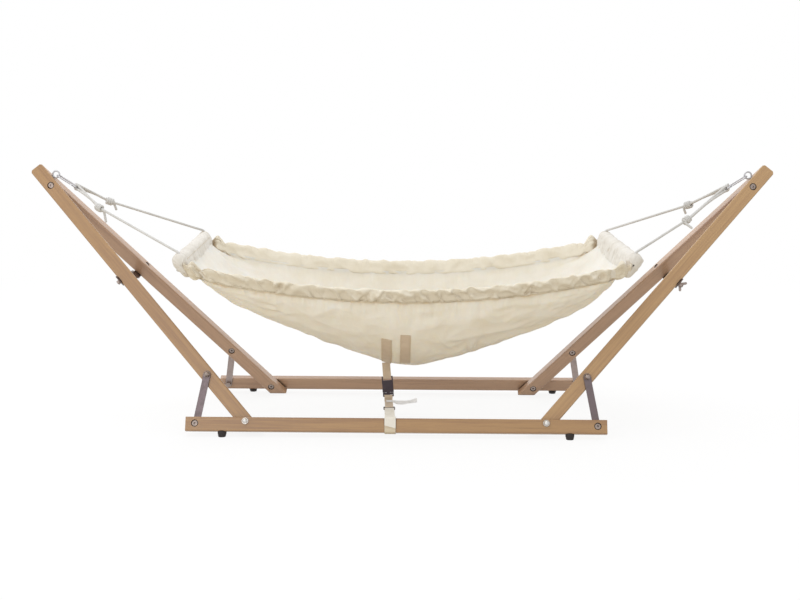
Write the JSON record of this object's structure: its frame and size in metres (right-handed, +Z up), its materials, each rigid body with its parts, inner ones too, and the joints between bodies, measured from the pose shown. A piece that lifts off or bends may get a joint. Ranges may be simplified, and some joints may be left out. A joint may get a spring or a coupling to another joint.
{
  "type": "swinging cradle on a stand",
  "caption": "Cotton hammock cradle with spreader bars, hung by ropes and snap hooks between the two ends of a wooden stand; a buckled strap ties its belly to the front rail.",
  "frame": {"origin": "centre of the stand's footprint, on the floor", "axes": "+X to the right along the rails, +Y to the rear, +Z up; the strap is at the front, -Y"},
  "size_m": [1.8382, 0.529, 0.6306],
  "materials": {
    "timber": "oiled, open grain",
    "bar_timber": "sanded",
    "link_steel": "satin, cold-rolled",
    "hardware_steel": "zinc plated",
    "bright_steel": "polished",
    "dark_steel": "dark lacquer",
    "rubber": "matt",
    "cotton": "undyed woven cotton",
    "elastic": "woven elastic",
    "rope": "braided cotton rope",
    "webbing": "woven webbing",
    "loop_webbing": "woven webbing",
    "tag": "plain woven ribbon",
    "dark_plastic": "moulded"
  },
  "bodies": {
    "stand": {"front_rail": "timber", "rear_rail": "timber", "front_left_upright": "timber", "front_right_upright": "timber", "rear_left_upright": "timber", "rear_right_upright": "timber", "front_left_link": "link_steel", "front_right_link": "link_steel", "rear_left_link": "link_steel", "rear_right_link": "link_steel", "pivot_bolts": "hardware_steel", "pivot_spacers": "dark_steel", "pivot_cap_nuts": "bright_steel", "link_foot_bolts": "hardware_steel", "link_foot_nuts": "hardware_steel", "link_head_bolts": "hardware_steel", "link_head_cap_nuts": "bright_steel", "top_bolts": "hardware_steel", "top_bolt_nuts": "hardware_steel", "left_eye_bolt": "hardware_steel", "right_eye_bolt": "hardware_steel", "left_spreader_plate": "dark_steel", "right_spreader_plate": "dark_steel", "spreader_bolts": "hardware_steel", "spreader_lock_nuts": "hardware_steel", "rubber_feet": "rubber", "foot_studs": "hardware_steel", "strap_adjuster": "dark_plastic", "rail_loop": "loop_webbing"},
    "cradle": {"left_hook": "hardware_steel", "right_hook": "hardware_steel", "hook_gate_pins": "hardware_steel", "sling": "cotton", "front_edge_casing": "cotton", "rear_edge_casing": "cotton", "front_elastic": "elastic", "rear_elastic": "elastic", "left_end_cuff": "cotton", "right_end_cuff": "cotton", "left_spreader_bar": "bar_timber", "right_spreader_bar": "bar_timber", "front_left_rope": "rope", "rear_left_rope": "rope", "front_right_rope": "rope", "rear_right_rope": "rope", "belly_webbing": "webbing", "upper_strap": "webbing", "buckle_socket": "dark_plastic", "buckle_base": "dark_plastic", "lower_strap": "webbing", "strap_tag": "tag"},
    "left_gate": {"left_hook_gate": "hardware_steel"},
    "right_gate": {"right_hook_gate": "hardware_steel"},
    "left_wing_nut": {"left_wing_nut": "hardware_steel"},
    "right_wing_nut": {"right_wing_nut": "hardware_steel"},
    "buckle_left_arm": {"buckle_left_arm": "dark_plastic"},
    "buckle_right_arm": {"buckle_right_arm": "dark_plastic"}
  },
  "joints": [
    {"name": "cradle_swing", "type": "hinge", "parent": "stand", "child": "cradle", "pos_m": [0, 0, 0.60285], "axis": [1, 0, 0], "range_deg": [-10, 8], "deforming": ["lower_strap"]},
    {"name": "left_gate_hinge", "type": "hinge", "parent": "cradle", "child": "left_gate", "pos_m": [-0.81718, -0.0105, 0.57964], "axis": [-0.5299, 0, -0.848], "range_deg": [0, 20], "stiffness_Nm_per_rad": 0.02},
    {"name": "right_gate_hinge", "type": "hinge", "parent": "cradle", "child": "right_gate", "pos_m": [0.81718, -0.0105, 0.57964], "axis": [-0.5299, 0, 0.848], "range_deg": [0, 20], "stiffness_Nm_per_rad": 0.02},
    {"name": "left_wing_nut_turn", "type": "hinge", "parent": "stand", "child": "left_wing_nut", "pos_m": [-0.68298, 0.09693, 0.34807], "axis": [-0.7536, 0.2356, -0.6137], "continuous": true},
    {"name": "right_wing_nut_turn", "type": "hinge", "parent": "stand", "child": "right_wing_nut", "pos_m": [0.68298, -0.09693, 0.34807], "axis": [0.7536, -0.2356, -0.6137], "continuous": true},
    {"name": "buckle_left_squeeze", "type": "hinge", "parent": "cradle", "child": "buckle_left_arm", "pos_m": [-0.03358, -0.05678, 0.06297], "axis": [0.0123, 0.9877, -0.156], "range_deg": [0, 6], "stiffness_Nm_per_rad": 0.02},
    {"name": "buckle_right_squeeze", "type": "hinge", "parent": "cradle", "child": "buckle_right_arm", "pos_m": [-0.01563, -0.05678, 0.06439], "axis": [-0.0123, -0.9877, 0.156], "range_deg": [0, 6], "stiffness_Nm_per_rad": 0.02}
  ],
  "couplings": [
    {"joint": "buckle_right_squeeze", "follows": "buckle_left_squeeze", "ratio": 1}
  ]
}
